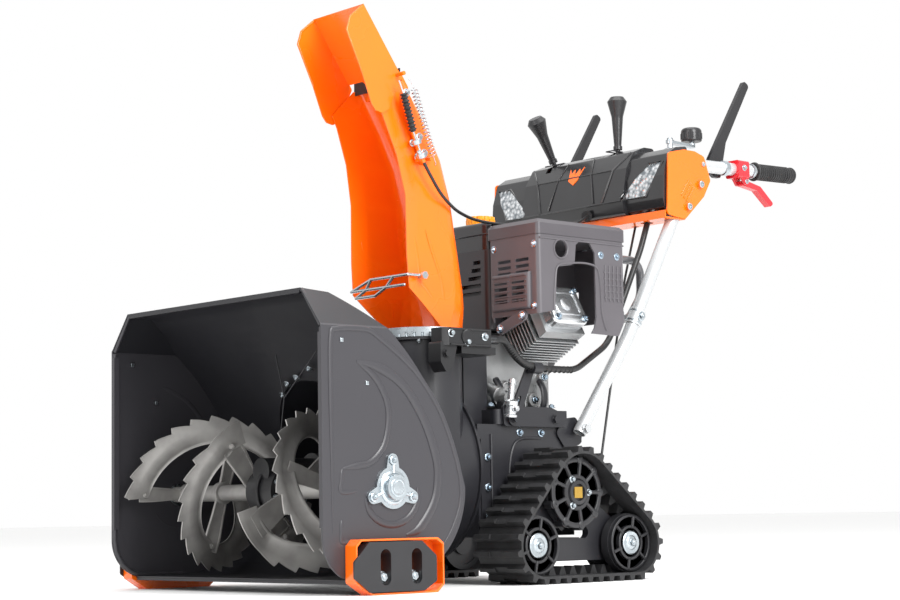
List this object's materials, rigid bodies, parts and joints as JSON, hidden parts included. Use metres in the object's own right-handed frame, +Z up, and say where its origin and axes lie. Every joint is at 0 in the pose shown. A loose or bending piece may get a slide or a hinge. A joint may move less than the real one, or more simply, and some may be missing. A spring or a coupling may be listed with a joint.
{
  "type": "tracked snow blower",
  "caption": "Walk-behind tracked snow blower with a wide auger bucket, a tall turning chute, a small engine, track drive and a handlebar control panel.",
  "frame": {"origin": "centre of the bounding box's base, on the ground under the machine", "axes": "+Z up, the bucket faces -Y, the operator stands at +Y; the machine's left side is +X"},
  "size_m": [0.75, 1.424, 1.121],
  "materials": {
    "bucket_paint": "black powder coat",
    "side_plate_paint": "satin dark grey powder coat",
    "zinc": "bright zinc plate",
    "black_paint": "satin black powder coat",
    "gearbox_black": "black paint",
    "auger_steel": "silver-grey paint",
    "impeller_black": "black paint",
    "pulley_steel": "pressed steel",
    "black_plastic": "moulded",
    "track_rubber": "moulded rubber",
    "wheel_black": "moulded nylon",
    "yellow_zinc": "yellow passivated",
    "cast_aluminium": "as cast",
    "bright_aluminium": "polished",
    "grey_plastic": "moulded dark grey",
    "grey_plastic_dark": "moulded dark grey",
    "tank_black": "painted",
    "cap_yellow": "moulded",
    "orange_paint": "gloss orange powder coat",
    "ring_zinc": "bright zinc plate",
    "wire_zinc": "bright zinc plate",
    "handle_silver": "silver paint",
    "grip_rubber": "soft rubber",
    "red_plastic": "moulded",
    "lever_black": "moulded",
    "gloss_black": "moulded",
    "lamp_clear": "clear faceted lens",
    "cable_black": "sheathed cable",
    "brace_grey": "grey paint",
    "pad_black": "moulded"
  },
  "bodies": {
    "machine": {"bucket_shell": "bucket_paint", "side_plate_left": "side_plate_paint", "side_plate_right": "side_plate_paint", "scraper_bar": "bucket_paint", "side_fittings": "zinc", "impeller_housing": "black_paint", "auger_gearbox": "gearbox_black", "gearcase": "black_paint", "gearcase_cover": "black_paint", "belt_cover": "black_plastic", "track_left": "track_rubber", "track_right": "track_rubber", "track_frames": "black_paint", "engine_crankcase": "cast_aluminium", "engine_cylinder": "cast_aluminium", "valve_cover": "bright_aluminium", "engine_cover": "grey_plastic", "engine_lid": "grey_plastic_dark", "blower_housing": "grey_plastic", "fuel_tank": "tank_black", "chute_gearbox": "black_plastic", "handles": "handle_silver", "grips": "grip_rubber", "trigger_clamps": "red_plastic", "panel_frame": "orange_paint", "panel_fascia": "gloss_black", "headlights": "lamp_clear", "control_cables": "cable_black", "deflector_cable": "cable_black", "cable_arm": "black_paint", "brace_tube": "brace_grey"},
    "auger": {"auger_shaft": "auger_steel", "auger_flights_left": "auger_steel", "auger_flights_right": "auger_steel"},
    "impeller": {"impeller": "impeller_black"},
    "crank": {"crank_pulley": "pulley_steel"},
    "chute": {"chute_shell": "orange_paint", "chute_ring": "ring_zinc", "chute_guard": "wire_zinc"},
    "deflector": {"deflector": "orange_paint"},
    "axle": {"drive_axle": "yellow_zinc", "sprocket_left": "wheel_black", "sprocket_right": "wheel_black"},
    "idler_front_left": {"idler_front_left": "wheel_black"},
    "idler_front_right": {"idler_front_right": "wheel_black"},
    "idler_rear_left": {"idler_rear_left": "wheel_black"},
    "idler_rear_right": {"idler_rear_right": "wheel_black"},
    "speed_lever": {"speed_lever": "lever_black"},
    "deflector_lever": {"deflector_lever": "lever_black"},
    "clutch_lever_left": {"clutch_lever_left": "lever_black"},
    "clutch_lever_right": {"clutch_lever_right": "lever_black"},
    "trigger_left": {"trigger_left": "red_plastic"},
    "trigger_right": {"trigger_right": "red_plastic"},
    "chute_crank": {"chute_crank": "wire_zinc", "crank_knob": "lever_black"},
    "fuel_cap": {"fuel_cap": "cap_yellow"},
    "skid_left": {"skid_shoe_left": "orange_paint", "skid_pad_left": "pad_black"},
    "skid_right": {"skid_shoe_right": "orange_paint", "skid_pad_right": "pad_black"}
  },
  "joints": [
    {"name": "impeller_spin", "type": "hinge", "parent": "machine", "child": "impeller", "pos_m": [0, -0.262, 0.226], "axis": [0, 1, 0], "continuous": true},
    {"name": "auger_spin", "type": "hinge", "parent": "machine", "child": "auger", "pos_m": [0, -0.555, 0.188], "axis": [1, 0, 0], "continuous": true},
    {"name": "crank_spin", "type": "hinge", "parent": "machine", "child": "crank", "pos_m": [0, -0.142, 0.436], "axis": [0, 1, 0], "continuous": true},
    {"name": "chute_turn", "type": "hinge", "parent": "machine", "child": "chute", "pos_m": [0.1, -0.269, 0.495], "axis": [0, 0, 1], "range_deg": [-90, 90], "deforming": ["deflector_cable"]},
    {"name": "deflector_tilt", "type": "hinge", "parent": "chute", "child": "deflector", "pos_m": [0.1, -0.368, 0.994], "axis": [1, 0, 0], "range_deg": [0, 50]},
    {"name": "axle_spin", "type": "hinge", "parent": "machine", "child": "axle", "pos_m": [0, -0.032, 0.177], "axis": [1, 0, 0], "continuous": true},
    {"name": "idler_front_left_spin", "type": "hinge", "parent": "machine", "child": "idler_front_left", "pos_m": [0.2485, -0.145, 0.075], "axis": [1, 0, 0], "continuous": true},
    {"name": "idler_front_right_spin", "type": "hinge", "parent": "machine", "child": "idler_front_right", "pos_m": [-0.2485, -0.145, 0.075], "axis": [1, 0, 0], "continuous": true},
    {"name": "idler_rear_left_spin", "type": "hinge", "parent": "machine", "child": "idler_rear_left", "pos_m": [0.2485, 0.116, 0.075], "axis": [1, 0, 0], "continuous": true},
    {"name": "idler_rear_right_spin", "type": "hinge", "parent": "machine", "child": "idler_rear_right", "pos_m": [-0.2485, 0.116, 0.075], "axis": [1, 0, 0], "continuous": true},
    {"name": "speed_lever_tilt", "type": "hinge", "parent": "machine", "child": "speed_lever", "pos_m": [0.08, 0.335, 0.893], "axis": [1, 0, 0], "range_deg": [-18, 18]},
    {"name": "deflector_lever_tilt", "type": "hinge", "parent": "machine", "child": "deflector_lever", "pos_m": [-0.1, 0.335, 0.893], "axis": [1, 0, 0], "range_deg": [-40, 0]},
    {"name": "clutch_lever_left_press", "type": "hinge", "parent": "machine", "child": "clutch_lever_left", "pos_m": [0.2315, 0.469, 0.888], "axis": [1, 0, 0], "range_deg": [-54, 0], "stiffness_Nm_per_rad": 1.2, "springref_deg": 20.05},
    {"name": "clutch_lever_right_press", "type": "hinge", "parent": "machine", "child": "clutch_lever_right", "pos_m": [-0.2315, 0.469, 0.888], "axis": [1, 0, 0], "range_deg": [-54, 0], "stiffness_Nm_per_rad": 1.2, "springref_deg": 20.05},
    {"name": "trigger_left_pull", "type": "hinge", "parent": "machine", "child": "trigger_left", "pos_m": [0.257, 0.544, 0.86], "axis": [1, 0, 0], "range_deg": [0, 11], "stiffness_Nm_per_rad": 0.8, "springref_deg": -17.19},
    {"name": "trigger_right_pull", "type": "hinge", "parent": "machine", "child": "trigger_right", "pos_m": [-0.257, 0.544, 0.86], "axis": [1, 0, 0], "range_deg": [0, 11], "stiffness_Nm_per_rad": 0.8, "springref_deg": -17.19},
    {"name": "chute_crank_turn", "type": "hinge", "parent": "machine", "child": "chute_crank", "pos_m": [0.205, 0.369, 0.915], "axis": [0, 0, 1], "range_deg": [-900, 900]},
    {"name": "fuel_cap_twist", "type": "hinge", "parent": "machine", "child": "fuel_cap", "pos_m": [0.04, -0.048, 0.75], "axis": [0, 0, 1], "range_deg": [0, 90]},
    {"name": "skid_left_slide", "type": "slide", "parent": "machine", "child": "skid_left", "axis": [0, 0, -1], "range_m": [0, 0.035]},
    {"name": "skid_right_slide", "type": "slide", "parent": "machine", "child": "skid_right", "axis": [0, 0, -1], "range_m": [0, 0.035]}
  ],
  "couplings": [
    {"joint": "auger_spin", "follows": "impeller_spin", "ratio": 0.1},
    {"joint": "crank_spin", "follows": "impeller_spin", "ratio": 3.0667},
    {"joint": "idler_front_left_spin", "follows": "axle_spin", "ratio": 1.2742},
    {"joint": "idler_front_right_spin", "follows": "axle_spin", "ratio": 1.2742},
    {"joint": "idler_rear_left_spin", "follows": "axle_spin", "ratio": 1.2742},
    {"joint": "idler_rear_right_spin", "follows": "axle_spin", "ratio": 1.2742},
    {"joint": "chute_crank_turn", "follows": "chute_turn", "ratio": 10},
    {"joint": "deflector_tilt", "follows": "deflector_lever_tilt", "ratio": -1.25}
  ]
}
